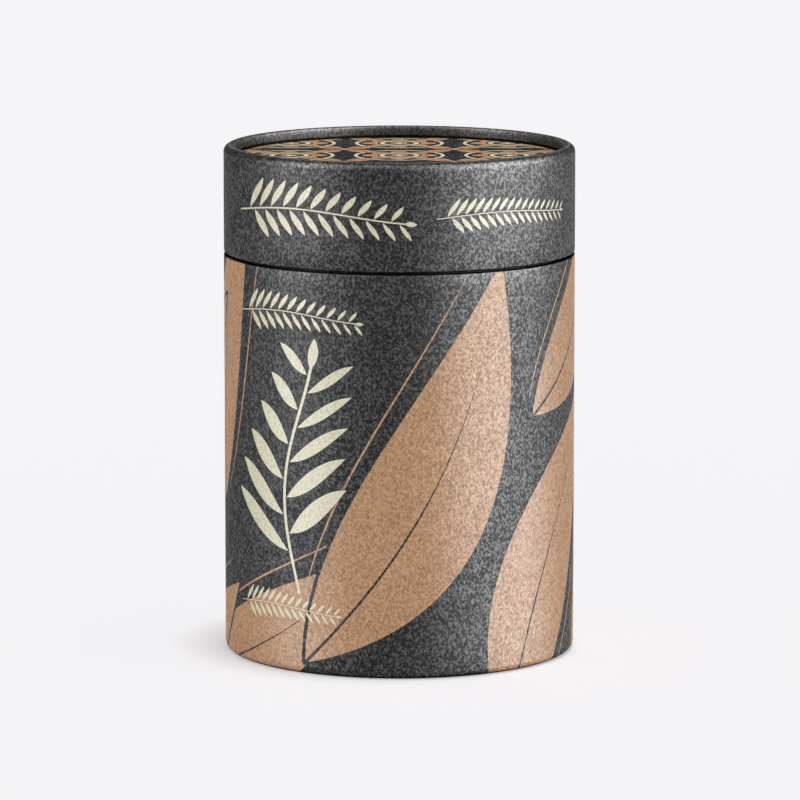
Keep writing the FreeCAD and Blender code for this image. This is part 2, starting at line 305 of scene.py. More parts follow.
def turn_paper(name, path, segments):
    """A circle extruded ring by ring along a path of (radius, height)."""
    begin(name)
    radius, height = path[0]
    bpy.ops.mesh.primitive_circle_add(vertices=segments, radius=radius, location=(0, 0, height))
    piece = bpy.context.object
    piece.name = piece.data.name = name
    bpy.ops.object.transform_apply()
    bpy.ops.object.mode_set(mode="EDIT")
    bpy.ops.mesh.select_mode(type="EDGE")
    bpy.ops.mesh.select_all(action="SELECT")
    for next_radius, next_height in path[1:]:
        bpy.ops.mesh.extrude_edges_move(TRANSFORM_OT_translate={"value": (0, 0, next_height - height)})
        grow = next_radius / radius
        bpy.ops.transform.resize(value=(grow, grow, 1), center_override=(0, 0, 0))
        radius, height = next_radius, next_height
    bpy.ops.mesh.select_all(action="SELECT")
    bpy.ops.mesh.normals_make_consistent(inside=False)
    bpy.ops.object.mode_set(mode="OBJECT")
    return piece


def select_where(piece, elements, mode, chosen):
    """Selects the polygons or vertices of a piece that pass a test, and enters edit mode."""
    bpy.ops.object.mode_set(mode="EDIT")
    bpy.ops.mesh.select_mode(type=mode)
    bpy.ops.mesh.select_all(action="DESELECT")
    bpy.ops.object.mode_set(mode="OBJECT")
    for element in getattr(piece.data, elements):
        element.select = chosen(element)
    bpy.ops.object.mode_set(mode="EDIT")


def raise_lap(piece, papers, low, high):
    """Lifts the strip at the back where the sheet's end lies over its start."""
    half = papers.lap_width / 2
    lift = papers.wrap_thickness
    wall = TUBE_RADIUS - papers.fold_radius

    def on_strip(face):
        centre = face.center
        on_wall = math.hypot(centre.x, centre.y) > wall
        return on_wall and centre.y > 0 and abs(centre.x) < half and low < centre.z < high

    select_where(piece, "polygons", "FACE", on_strip)
    bpy.ops.mesh.extrude_region_shrink_fatten(TRANSFORM_OT_shrink_fatten={"value": lift})
    bpy.ops.object.mode_set(mode="OBJECT")
    raised = [v.index for v in piece.data.vertices if math.hypot(v.co.x, v.co.y) > TUBE_RADIUS + lift / 2]
    ends = {round(piece.data.vertices[i].co.z, 6) for i in raised}
    columns = {}
    for index in raised:
        place_across = piece.data.vertices[index].co.x
        share = (half - place_across) / papers.lap_ramp
        if round(piece.data.vertices[index].co.z, 6) in (min(ends), max(ends)):
            share = 0.0
        if share < 1:
            columns.setdefault(round(max(share, LEAST_RISE), 3), set()).add(index)
    for share, indices in columns.items():
        select_where(piece, "vertices", "VERT", lambda vertex: vertex.index in indices)
        sink = (TUBE_RADIUS + lift * share) / (TUBE_RADIUS + lift)
        bpy.ops.transform.resize(value=(sink, sink, 1), center_override=(0, 0, 0))
    bpy.ops.object.mode_set(mode="OBJECT")


def apply_waves(piece, depth, scale):
    """Slow waves in glued paper, away from its edges."""
    heights = [vertex.co.z for vertex in piece.data.vertices]
    low, high = min(heights) + STILL_EDGE, max(heights) - STILL_EDGE
    wall = piece.vertex_groups.new(name="wall")
    wall.add([vertex.index for vertex in piece.data.vertices if low < vertex.co.z < high], 1.0, "REPLACE")
    texture = bpy.data.textures.new(f"{piece.name} waves", "CLOUDS")
    texture.noise_scale = scale
    texture.noise_depth = 2
    waves = piece.modifiers.new("waves", "DISPLACE")
    waves.texture = texture
    waves.texture_coords = "LOCAL"
    waves.strength = depth
    waves.mid_level = 0.5
    waves.vertex_group = wall.name
    bpy.ops.object.modifier_apply(modifier=waves.name)
    piece.vertex_groups.clear()


def apply_thickness(piece, thickness, outward=False):
    """Gives a sheet its thickness, behind the face that shows."""
    paper = piece.modifiers.new("paper thickness", "SOLIDIFY")
    paper.thickness = thickness
    paper.offset = 1 if outward else -1
    bpy.ops.object.modifier_apply(modifier=paper.name)
    bpy.ops.object.shade_smooth_by_angle(angle=SMOOTH_ANGLE)


def cut_disc(name, radius, top, bottom, segments):
    """A round blank with rings of faces and eased edges, whose seen face lies at top."""
    begin(name)
    bpy.ops.mesh.primitive_circle_add(
        vertices=segments, radius=radius, fill_type="NGON", location=(0, 0, top))
    piece = bpy.context.object
    piece.name = piece.data.name = name
    bpy.ops.object.transform_apply()
    bpy.ops.object.mode_set(mode="EDIT")
    bpy.ops.mesh.select_mode(type="FACE")
    bpy.ops.mesh.select_all(action="SELECT")
    for _ in range(DISC_RINGS):
        bpy.ops.mesh.inset(thickness=radius / (DISC_RINGS + 1))
    bpy.ops.mesh.poke()
    bpy.ops.mesh.select_all(action="SELECT")
    bpy.ops.mesh.normals_make_consistent(inside=False)
    bpy.ops.object.mode_set(mode="OBJECT")
    if (piece.data.polygons[0].normal.z > 0) != (top > bottom):
        bpy.ops.object.mode_set(mode="EDIT")
        bpy.ops.mesh.select_all(action="SELECT")
        bpy.ops.mesh.flip_normals()
        bpy.ops.object.mode_set(mode="OBJECT")
    apply_thickness(piece, abs(top - bottom))
    eased = piece.modifiers.new("eased edge", "BEVEL")
    eased.width = EASED_EDGE
    eased.segments = 2
    eased.limit_method = "ANGLE"
    eased.angle_limit = CORNER_ANGLE
    bpy.ops.object.modifier_apply(modifier=eased.name)
    return piece


class Wire:
    """A socket's value, to reckon with: each sum puts a Math node in the socket's tree."""

    def __init__(self, socket):
        self.socket = socket
        self.tree = socket.id_data

    def math(self, operation, *others):
        return reckon(self.tree, operation, self, *others)

    def __add__(self, other):
        return self.math("ADD", other)

    def __sub__(self, other):
        return self.math("SUBTRACT", other)

    def __rsub__(self, other):
        return reckon(self.tree, "SUBTRACT", other, self)

    def __mul__(self, other):
        return self.math("MULTIPLY", other)

    def __truediv__(self, other):
        return self.math("DIVIDE", other)

    def __neg__(self):
        return self.math("MULTIPLY", -1.0)

    def __abs__(self):
        return self.math("ABSOLUTE")

    def __lt__(self, other):
        return self.math("LESS_THAN", other)

    def __gt__(self, other):
        return self.math("GREATER_THAN", other)

    __radd__ = __add__
    __rmul__ = __mul__


def plug(value, entry):
    """Links a value to a node's input, or sets it there."""
    if isinstance(value, Wire):
        entry.id_data.links.new(value.socket, entry)
    else:
        entry.default_value = value


def reckon(tree, operation, *values):
    """Puts a Math node in a tree and gives its result."""
    node = tree.nodes.new("ShaderNodeMath")
    node.operation = operation
    for entry, value in zip(node.inputs, values):
        plug(value, entry)
    return Wire(node.outputs[0])


def place(tree, kind, entries=None, **settings):
    """Puts a node in a tree with its settings and inputs."""
    node = tree.nodes.new(f"ShaderNode{kind}")
    for name, setting in settings.items():
        setattr(node, name, setting)
    for name, value in (entries or {}).items():
        plug(value, node.inputs[name])
    return node


def noise(vector, scale, detail=2.0, roughness=0.5, warp=0.0):
    """Cloudy noise between 0 and 1."""
    entries = {"Vector": vector, "Scale": scale, "Detail": detail, "Roughness": roughness, "Distortion": warp}
    return Wire(place(vector.tree, "TexNoise", entries).outputs["Fac"])


def ease(value, low, high):
    """From 0 at low to 1 at high, smoothly."""
    entries = {"Value": value, "From Min": low, "From Max": high}
    return Wire(place(value.tree, "MapRange", entries, interpolation_type="SMOOTHSTEP").outputs["Result"])


def mix(share, first, second):
    """From the first colour at 0 to the second at 1."""
    node = place(share.tree, "Mix", data_type="RGBA")
    for index, value in ((0, share), (6, first), (7, second)):
        plug(value, node.inputs[index])
    return Wire(node.outputs[2])


def shade(colour, brightness):
    """A colour made lighter or darker by a factor."""
    node = place(brightness.tree, "VectorMath", {0: colour, "Scale": brightness}, operation="SCALE")
    return Wire(node.outputs["Vector"])


def any_of(*masks):
    """Mask of all that lies in one of the masks or more."""
    joined = masks[0]
    for mask in masks[1:]:
        joined = joined.math("MAXIMUM", mask)
    return joined


def new_group(name, entries, exits):
    """An empty shader group with its sockets: the group, its inputs' values and its output node."""
    tree = bpy.data.node_groups.new(name, "ShaderNodeTree")
    for label, kind in entries.items():
        tree.interface.new_socket(label, in_out="INPUT", socket_type=kind)
    for label, kind in exits.items():
        tree.interface.new_socket(label, in_out="OUTPUT", socket_type=kind)
    source = tree.nodes.new("NodeGroupInput")
    sink = tree.nodes.new("NodeGroupOutput")
    given = {label: Wire(source.outputs[label]) for label in entries}
    return tree, given, sink


def label_of(name):
    """A name from the script as a node's label."""
    return name.replace("_", " ").capitalize()


def use_group(tree, build, **entries):
    """Places a shared group, built at its first use, and gives its outputs."""
    name = label_of(build.__name__)
    node = tree.nodes.new("ShaderNodeGroup")
    node.node_tree = bpy.data.node_groups.get(name) or build(name)
    for entry, value in entries.items():
        plug(value, node.inputs[label_of(entry)])
    return [Wire(output) for output in node.outputs]


def place_in_mm(tree):
    """Object coordinates and the distance from the tube's axis, in mm."""
    split = place(tree, "SeparateXYZ", {0: Wire(place(tree, "TexCoord").outputs["Object"])})
    x, y, z = (Wire(output) * MILLIMETRES for output in split.outputs)
    return x, y, z, (x * x + y * y).math("SQRT")


def turned_sheet(name):
    """Distance around, height, radius and all three as a vector, in mm."""
    tree, _, sink = new_group(name, {}, {"Around": FLOAT, "Height": FLOAT, "Radius": FLOAT, "Sheet": VECTOR})
    x, y, z, radius = place_in_mm(tree)
    turn = x.math("ARCTAN2", -y).math("WRAP", LAP_TURN + 2 * math.pi, LAP_TURN)
    around = turn * WALL_RADIUS
    sheet = Wire(place(tree, "CombineXYZ", {0: around, 1: z, 2: radius}).outputs[0])
    for entry, value in zip(sink.inputs, (around, z, radius, sheet)):
        plug(value, entry)
    return tree


def flat_sheet(name):
    """Place across, place along, distance from the middle and all as a vector, in mm."""
    tree, _, sink = new_group(name, {}, {"Across": FLOAT, "Along": FLOAT, "Radius": FLOAT, "Sheet": VECTOR})
    x, y, z, radius = place_in_mm(tree)
    sheet = Wire(place(tree, "CombineXYZ", {0: x, 1: y, 2: z}).outputs[0])
    for entry, value in zip(sink.inputs, (x, y, radius, sheet)):
        plug(value, entry)
    return tree


def fibre_hairs(name):
    """Short hairs that lie one way through the paper."""
    tree, given, sink = new_group(name, {"Sheet": VECTOR, "Turn": FLOAT}, {"Hair": FLOAT})
    entries = {"Vector": given["Sheet"], "Angle": given["Turn"]}
    turned = place(tree, "VectorRotate", entries, rotation_type="Z_AXIS")
    drawn = place(tree, "VectorMath", {0: Wire(turned.outputs[0]), 1: (0.95, 4.3, 1.0)}, operation="MULTIPLY")
    plug(ease(noise(Wire(drawn.outputs[0]), 1.0, 1.0, 0.5, 0.7), 0.55, 0.70), sink.inputs["Hair"])
    return tree


def kraft_paper(name):
    """Mottled fibrous colour, the flecks that stand out from it, and its relief."""
    tree, given, sink = new_group(
        name, {"Sheet": VECTOR, "Kraft": COLOUR}, {"Colour": COLOUR, "Fleck": FLOAT, "Relief": FLOAT})
    sheet = given["Sheet"]
    drawn = place(tree, "VectorMath", {0: sheet, 1: (1.22, 0.95, 1.0)}, operation="MULTIPLY")
    pulp = ease(noise(Wire(drawn.outputs[0]), 1.5, 2.0, 0.7), 0.36, 0.64)
    clump = ease(noise(Wire(drawn.outputs[0]), 0.75, 2.0, 0.6), 0.36, 0.64) - 0.5
    mottle = noise(sheet, 0.14, 3.0, 0.6) - 0.5
    hairs = [use_group(tree, fibre_hairs, sheet=sheet, turn=turn)[0] for turn in (1.2, 1.95, 0.8, 1.6)]
    pale, dark = any_of(hairs[0], hairs[1]), any_of(hairs[2], hairs[3])
    speck = ease(noise(sheet, 1.3, 1.0), 0.70, 0.78)
    lint = hairs[0] * ease(noise(sheet, 0.6, 1.0), 0.60, 0.66)
    tone = pulp * 0.85 + clump * 0.3 + pale * 0.45 - dark * 0.35 + lint * 0.45 + mottle * 0.5 + 0.07
    plug(shade(given["Kraft"], 0.78 + tone * 0.44 - speck * 0.18), sink.inputs["Colour"])
    plug(ease(tone, -0.15, 1.2), sink.inputs["Fleck"])
    plug(pulp + pale * 0.6 - dark * 0.3 - speck * 0.3 + mottle * 0.6, sink.inputs["Relief"])
    return tree


def ground_ink(name):
    """Dark ink over paper, with the paper's flecks rubbed through it."""
    tree, given, sink = new_group(
        name,
        {"Paper": COLOUR, "Ink": COLOUR, "Fleck colour": COLOUR, "Fleck": FLOAT, "Cover": FLOAT},
        {"Colour": COLOUR})
    inked = mix(given["Fleck"].math("POWER", 2.6), given["Ink"], given["Fleck colour"])
    plug(mix(given["Cover"], given["Paper"], inked), sink.inputs["Colour"])
    return tree


def light_ink(name):
    """Pale ink that grips the paper unevenly."""
    tree, given, sink = new_group(
        name, {"Paper": COLOUR, "Ink": COLOUR, "Fleck": FLOAT, "Cover": FLOAT}, {"Colour": COLOUR})
    grip = given["Cover"] * (0.96 - ease(given["Fleck"], 0.55, 1.0) * 0.25)
    plug(mix(grip, given["Paper"], given["Ink"]), sink.inputs["Colour"])
    return tree


def edge_rub(name):
    """Where handling has rubbed the print off near an edge."""
    tree, given, sink = new_group(name, {"Sheet": VECTOR, "Depth": FLOAT}, {"Rub": FLOAT})
    patches = noise(given["Sheet"], 0.22, 2.0) * 0.6 + noise(given["Sheet"], 1.7, 2.0)
    near = 1 - ease(given["Depth"], 0.1, 0.7)
    plug(ease(patches, 0.96, 1.12) * near * 0.3, sink.inputs["Rub"])
    return tree


def edge_shadow(name):
    """Painted shade by a folded edge, by the distance from it."""
    tree, given, sink = new_group(name, {"Height": FLOAT, "Edge": FLOAT, "Reach": FLOAT}, {"Shadow": FLOAT})
    share = abs(given["Height"] - given["Edge"]) / given["Reach"]
    plug(1 - ease(share, 0.2, 1.0), sink.inputs["Shadow"])
    return tree


def motif_axes(given):
    """Distances along and beside a motif, from its place and tilt on the wall."""
    across = (given["Around"] - given["Place around"]).math("WRAP", AROUND / 2, -AROUND / 2)
    up = given["Height"] - given["Place height"]
    cosine, sine = given["Tilt"].math("COSINE"), given["Tilt"].math("SINE")
    return across * cosine + up * sine, up * cosine - across * sine


def leaf_blade(name):
    """Distance in mm from a bowed leaf blade, from its midrib and from the line that echoes it."""
    entries = MOTIF_ENTRIES + ("Half length", "Arc radius", "Arc offset", "Bow")
    exits = ("Distance", "Midrib", "Echo")
    tree, given, sink = new_group(name, dict.fromkeys(entries, FLOAT), dict.fromkeys(exits, FLOAT))
    half, offset, bow = given["Half length"], given["Arc offset"], given["Bow"]
    along, aside = motif_axes(given)
    share = along / half
    beside = aside - bow * share * share
    belly = along + (1 - share * share) * half * 0.16
    reach, side = abs(belly), abs(beside)
    tip_reach = reach - half
    past_tip = tip_reach * offset > side * half
    to_tip = (tip_reach * tip_reach + side * side).math("SQRT")
    from_centre = side + offset
    to_arc = (from_centre * from_centre + reach * reach).math("SQRT") - given["Arc radius"]
    distance = to_arc + (to_tip - to_arc) * past_tip
    plug(distance, sink.inputs["Distance"])
    plug(side - (0.72 - share) * 0.22, sink.inputs["Midrib"])
    echo = abs(distance - 3.6 - share * 1.8) - (1 - share * share) * 0.24
    out_of_reach = (beside * bow < 0.0) + (abs(share) > 0.96)
    plug(echo + out_of_reach * 9.0, sink.inputs["Echo"])
    return tree


def branch(name):
    """Mask of a stem with leaflets set alternately on both sides and one at its end."""
    entries = MOTIF_ENTRIES + ("Length", "Leaf length", "Leaf width", "Pitch")
    tree, given, sink = new_group(name, dict.fromkeys(entries, FLOAT), {"Mask": FLOAT})
    length, pitch = given["Length"], given["Pitch"]
    leaf_length, leaf_width = given["Leaf length"], given["Leaf width"]
    along, aside = motif_axes(given)
    beside = aside - ((along / length) * 4.2).math("SINE") * leaf_length * 0.22
    side = abs(beside)
    shift = (beside < 0.0) * pitch * 0.5
    step = (along - side * 0.75 - shift) / pitch
    leaf_number = step.math("FLOOR")
    from_leaf = abs(step - leaf_number - 0.5) * pitch
    share = ((leaf_number + 0.5) * pitch + shift) / length
    size = 1.05 - share * 0.55
    out = (side - leaf_width * 0.12) / (leaf_length * size)
    half_width = out * (1 - out) * leaf_width * size * 2.0
    leaflet = (from_leaf < half_width) * (share > 0.02) * (share < 0.97)
    stem = (side < leaf_width * 0.07) * (along > pitch * -0.6) * (along < length)
    tip = (along - length * 0.96) / (leaf_length * 0.45)
    end_leaf = side < tip * (1 - tip) * leaf_width * 0.95
    plug(any_of(leaflet, stem, end_leaf), sink.inputs["Mask"])
    return tree


def curl_puckers(name):
    """Fine creases where the rolled paper is gathered inside a rim."""
    tree, given, sink = new_group(
        name, {"Around": FLOAT, "Radius": FLOAT, "Sheet": VECTOR}, {"Relief": FLOAT})
    drift = noise(given["Sheet"], 0.35, 2.0) * 9.0
    broad = (given["Around"] * 3.3 + drift).math("SINE")
    narrow = (given["Around"] * 7.9 - drift).math("SINE")
    gathered = 1 - ease(given["Radius"], *GATHERED_PAPER)
    plug((broad * 0.5 + narrow * 0.25) * gathered, sink.inputs["Relief"])
    return tree


def new_finish(name):
    """A material with its Principled shader, and the tree to draw in."""
    material = bpy.data.materials.new(name)
    material.use_nodes = True
    return material, material.node_tree, material.node_tree.nodes["Principled BSDF"]


def finish_paper(tree, shader, colour, fleck, cover, relief, depth=PAPER_RELIEF, shadow=None, gloss=1.0):
    """Joins colour, gloss and relief to the shader: fibres that stand up shine most, and ink adds to it."""
    inked = cover * (INK_COAT + fleck * INKED_FIBRE_COAT)
    coat = (BARE_COAT + fleck * FIBRE_COAT + inked) * gloss
    # painted shade: a given shadow darkens the colour and the coat
    if shadow is not None:
        light = 1 - shadow
        colour, coat = shade(colour, light), coat * light
    plug(colour, shader.inputs["Base Color"])
    plug(0.72 - fleck * 0.12, shader.inputs["Roughness"])
    plug(coat, shader.inputs["Coat Weight"])
    shader.inputs["Specular IOR Level"].default_value = 0.0
    shader.inputs["Coat Roughness"].default_value = COAT_ROUGHNESS
    shader.inputs["Coat IOR"].default_value = COAT_IOR
    bump = place(tree, "Bump", {"Height": relief, "Distance": depth, "Strength": 1.0})
    plug(Wire(bump.outputs["Normal"]), shader.inputs["Normal"])


def ragged_edge(sheet):
    """How far a printed edge wanders over the fibres, in mm."""
    return (noise(sheet, 3.1, 1.0) - 0.5) * 0.18


def draw_blades(tree, around, height, blades, gap):
    """Mask of the bare blades and their echo lines, laid over each other with a dark gap."""
    bare = None
    for place_around, place_height, tilt, half_length, half_width, bow in blades:
        arc_radius = (half_length ** 2 + half_width ** 2) / (2 * half_width)
        distance, midrib, echo = use_group(
            tree, leaf_blade, around=around, height=height,
            place_around=place_around, place_height=place_height, tilt=math.radians(tilt),
            half_length=half_length, arc_radius=arc_radius, arc_offset=arc_radius - half_width, bow=bow)
        blade = any_of((distance < 0.0) * (midrib > 0.0), echo < 0.0)
        bare = blade if bare is None else any_of(bare * (distance > gap), blade)
    return bare


def draw_branches(tree, around, height, branches):
    """Mask of the cream branches."""
    masks = []
    for place_around, place_height, tilt, length, leaf_length, leaf_width, pitch in branches:
        masks += use_group(
            tree, branch, around=around, height=height,
            place_around=place_around, place_height=place_height, tilt=math.radians(tilt),
            length=length, leaf_length=leaf_length, leaf_width=leaf_width, pitch=pitch)
    return any_of(*masks)


def printed_wrap(name, colours, open_edge, crest, painted_shade_edges, branches, blades=()):
    """Kraft wrap printed with a dark ground that leaves the blades bare, and cream branches, with a painted
    highlight and painted shade about the rim and the edges.
    """
    material, tree, shader = new_finish(name)
    around, height, radius, sheet = use_group(tree, turned_sheet)
    kraft, fleck, relief = use_group(tree, kraft_paper, sheet=sheet, kraft=tuple(colours.kraft))
    ragged = ragged_edge(sheet)
    print_around, print_height = around + ragged, height + ragged
    cover = 1.0
    if blades:
        cover = 1 - draw_blades(tree, print_around, print_height, blades, colours.blade_gap)
    low, high = sorted((open_edge * MILLIMETRES, crest * MILLIMETRES))
    nearest_edge = (height - low).math("MINIMUM", high - height)
    rub = use_group(tree, edge_rub, sheet=sheet, depth=nearest_edge)[0]
    # the lap ends in a raw edge of bare paper, with a painted shadow beside its step
    on_wall = radius > WALL_SIDE
    printed = 1 - (around > LAP_END - LAP_EDGE) * on_wall
    ground = use_group(
        tree, ground_ink, paper=kraft, ink=tuple(colours.charcoal), fleck_colour=tuple(colours.fleck),
        fleck=fleck, cover=cover * (1 - rub) * printed)[0]
    ground = shade(ground, 1 - (around < LAP_END - AROUND + LAP_STEP_SHADOW) * on_wall * 0.7)
    # painted highlight in a line along the crest, and painted light down the curl's leg, both as a paler ink
    # on the dark ground
    drop = abs(height - crest * MILLIMETRES)
    crest_highlight = (1 - ease(abs(radius - CREST_HIGHLIGHT), *CREST_HIGHLIGHT_FADE)) * (drop < 0.9) * 0.9
    leg_light = (1 - ease(radius, *LEG_LIGHT)) * 0.42
    rim_light = any_of(crest_highlight, leg_light) * (fleck * 0.8 + 0.5) * cover
    ground = mix(rim_light, ground, tuple(colours.thin_ink))
    cream = draw_branches(tree, print_around, print_height, branches) * printed
    colour = use_group(tree, light_ink, paper=ground, ink=tuple(colours.cream), fleck=fleck, cover=cream)[0]
    puckers = use_group(tree, curl_puckers, around=around, radius=radius, sheet=sheet)[0]
    # painted shade: the leg darkens towards the disc, and the folded edges towards the seam and the floor
    shadows = [any_of(ease(drop, *LEG_SHADE) * 0.5, ease(drop, *NOOK_SHADE)) * (radius < LEG_SIDE)]
    for edge, reach in painted_shade_edges:
        shadows += use_group(tree, edge_shadow, height=height, edge=edge * MILLIMETRES, reach=reach)
    finish_paper(tree, shader, colour, fleck, cover, relief + puckers, shadow=any_of(*shadows) * PAINTED_SHADE_STRENGTH)
    return material


def printed_facing(name, colours):
    """Kraft facing printed with a lattice of rosettes and crossed leaves."""
    material, tree, shader = new_finish(name)
    across, along, radius, sheet = use_group(tree, flat_sheet)
    kraft, fleck, relief = use_group(tree, kraft_paper, sheet=sheet, kraft=tuple(colours.kraft))
    ragged = ragged_edge(sheet)
    x, y = across + ragged, along + ragged
    half = ROSETTE_PITCH / 2
    u, v = (value.math("WRAP", half, -half) for value in (x, y))
    out = (u * u + v * v).math("SQRT")
    turn = u.math("ARCTAN2", v)
    inner_petals = out < (turn * 8.0).math("COSINE") * 0.5 + 2.2
    outer_petals = (out < abs((turn * 4.0).math("COSINE")) * 3.0 + 5.9) * (out > 5.3)
    p, q = ((value + half).math("WRAP", half, -half) for value in (x, y))
    leaf_one, leaf_two = (p + q) * math.sqrt(0.5), (p - q) * math.sqrt(0.5)
    leaves = []
    for along_leaf, beside_leaf in ((leaf_one, leaf_two), (leaf_two, leaf_one)):
        share = abs(abs(along_leaf) - 5.4) / 4.6
        leaves.append((abs(beside_leaf) < (1 - share * share) * 2.3) * (abs(beside_leaf) > 0.2))
    crossed = any_of(*leaves)
    inside = radius < PRINTED_DISC
    bare = any_of(inner_petals, outer_petals, crossed) * inside
    eye, ring = out < 0.9, abs(out - 4.2) < 0.55
    diamond = abs(leaf_one) + abs(leaf_two) < 1.1
    hoop = (abs(out - 10.3) < 0.42) * (1 - crossed)
    cream = any_of(ring, eye, diamond, hoop) * inside
    ground = use_group(
        tree, ground_ink, paper=kraft, ink=tuple(colours.charcoal), fleck_colour=tuple(colours.fleck),
        fleck=fleck, cover=1 - bare)[0]
    colour = use_group(tree, light_ink, paper=ground, ink=tuple(colours.cream), fleck=fleck, cover=cream)[0]
    rim_shadow = ease(radius, PRINTED_DISC - 0.5, PRINTED_DISC + 0.4) * 0.85
    finish_paper(tree, shader, colour, fleck, 1 - bare, relief, shadow=rim_shadow)
    return material


def plain_paper(name, colour, turned, winding=0.0, dyed=0.0, gloss=1.0):
    """Plain paper, with the line of a spiral winding where it lines a wound tube."""
    material, tree, shader = new_finish(name)
    first, second, _, sheet = use_group(tree, turned_sheet if turned else flat_sheet)
    kraft, fleck, relief = use_group(tree, kraft_paper, sheet=sheet, kraft=colour)
    if winding:
        ply = ((first + second * WINDING_SLOPE) / winding).math("FRACT")
        joint = 1 - ease(abs(ply - 0.5) * winding, 0.1, 0.35)
        kraft = shade(kraft, 1 - joint * 0.28)
        relief = relief - joint * 1.5
    finish_paper(tree, shader, kraft, fleck, dyed, relief, gloss=gloss)
    return material


def board_finish(name, colour):
    """Grey board of recycled pulp, wound in plies."""
    material, tree, shader = new_finish(name)
    _, _, radius, sheet = use_group(tree, turned_sheet)
    pulp, fleck, relief = use_group(tree, kraft_paper, sheet=sheet, kraft=colour)
    plies = (radius * 18.0 + noise(sheet, 0.4) * 2.0).math("SINE") * 0.5 + 0.5
    finish_paper(tree, shader, shade(pulp, 0.9 + plies * 0.15), fleck, 0.0, relief, BOARD_RELIEF)
    return material


def dress(piece, material, body, node):
    """Puts a material on a finished piece and lets it stand for its CAD node."""
    piece.data.materials.clear()
    piece.data.materials.append(material)
    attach(piece, body)
    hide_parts(node)


def model_wrap(name, papers, open_edge, crest):
    """Turns a printed wrap from its folded edge to its curl, with its lap, waves and thickness."""
    up = 1 if crest > open_edge else -1
    piece = turn_paper(name, wrap_path(papers, open_edge, crest), papers.segments)
    low, high = sorted((open_edge + up * papers.fold_radius, crest - up * papers.curl_outer))
    raise_lap(piece, papers, low, high)
    apply_waves(piece, papers.waviness, WRAP_WAVES)
    apply_thickness(piece, papers.wrap_thickness)
    return piece


class GIFT_TUBE_OT_body_wrap(bpy.types.Operator):
    """Model and print the paper round the body"""

    bl_idname = "gift_tube.body_wrap"
    bl_label = "Body Wrap"

    def execute(self, context):
        papers, colours = context.scene.tube_papers, context.scene.tube_print
        low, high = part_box("body_wrap")
        piece = model_wrap("printed_body_wrap", papers, high.z, low.z)
        painted_shade_edges = ((low.z, FOOT_REACH), (high.z, SEAM_REACH))
        finish = printed_wrap(
            "printed body paper", colours, high.z, low.z, painted_shade_edges, BODY_BRANCHES, BODY_BLADES)
        dress(piece, finish, "base", "body_wrap")
        return {"FINISHED"}


class GIFT_TUBE_OT_lid_wrap(bpy.types.Operator):
    """Model and print the paper round the lid"""

    bl_idname = "gift_tube.lid_wrap"
    bl_label = "Lid Wrap"

    def execute(self, context):
        papers, colours = context.scene.tube_papers, context.scene.tube_print
        low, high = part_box("lid_wrap")
        piece = model_wrap("printed_lid_wrap", papers, low.z, high.z)
        painted_shade_edges = ((low.z, SEAM_REACH),)
        finish = printed_wrap("printed lid paper", colours, low.z, high.z, painted_shade_edges, LID_BRANCHES)
        dress(piece, finish, "lid", "lid_wrap")
        return {"FINISHED"}


class GIFT_TUBE_OT_facings(bpy.types.Operator):
    """Cut the papers on the outside of the top and bottom discs"""

    bl_idname = "gift_tube.facings"
    bl_label = "Disc Facings"

    def execute(self, context):
        papers, colours = context.scene.tube_papers, context.scene.tube_print
        low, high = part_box("lid_facing")
        top = cut_disc("lid_disc_facing", high.x, high.z, low.z, papers.segments // 2)
        dress(top, printed_facing("printed top paper", colours), "lid", "lid_facing")
        low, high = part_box("base_facing")
        foot = cut_disc("base_disc_facing", high.x, low.z, high.z, papers.segments // 2)
        finish = plain_paper("kraft foot paper", tuple(colours.kraft), False)
        dress(foot, finish, "base", "base_facing")
        return {"FINISHED"}


class GIFT_TUBE_OT_neck_wrap(bpy.types.Operator):
    """Model the paper round the neck, turned in over its top edge"""

    bl_idname = "gift_tube.neck_wrap"
    bl_label = "Neck Wrap"

    def execute(self, context):
        papers, colours = context.scene.tube_papers, context.scene.tube_print
        low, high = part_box("neck_wrap")
        path = folded_edge(papers, high.x, high.z, -1)
        path += straight_run(path[-1], (high.x, low.z))
        piece = turn_paper("charcoal_neck_wrap", path, papers.segments // 2)
        apply_waves(piece, papers.waviness, LINING_WAVES)
        apply_thickness(piece, papers.wrap_thickness)
        finish = plain_paper("charcoal neck paper", tuple(colours.neck), True, dyed=1.0, gloss=0.25)
        dress(piece, finish, "base", "neck_wrap")
        return {"FINISHED"}


class GIFT_TUBE_OT_linings(bpy.types.Operator):
    """Model the linings of the neck, the lid and the insides of the discs"""

    bl_idname = "gift_tube.linings"
    bl_label = "Linings"

    def execute(self, context):
        papers, colours = context.scene.tube_papers, context.scene.tube_print
        wound = plain_paper("kraft wall lining", tuple(colours.inner_kraft), True, LINING_WINDING)
        flat = plain_paper("kraft disc lining", tuple(colours.inner_kraft), False)
        for node, body in (("neck_lining", "base"), ("lid_lining", "lid")):
            low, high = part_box(node)
            inside = high.x - papers.lining_thickness
            path = [(inside, low.z)] + straight_run((inside, low.z), (inside, high.z))
            piece = turn_paper(f"kraft_{node}", path, papers.segments // 2)
            apply_waves(piece, papers.waviness, LINING_WAVES)
            apply_thickness(piece, papers.lining_thickness, outward=True)
            dress(piece, wound, body, node)
        low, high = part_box("base_lining")
        floor_paper = cut_disc("kraft_base_lining", high.x, high.z, low.z, papers.segments // 2)
        dress(floor_paper, flat, "base", "base_lining")
        low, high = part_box("lid_disc_lining")
        ceiling_paper = cut_disc("kraft_lid_disc_lining", high.x, low.z, high.z, papers.segments // 2)
        dress(ceiling_paper, flat, "lid", "lid_disc_lining")
        return {"FINISHED"}


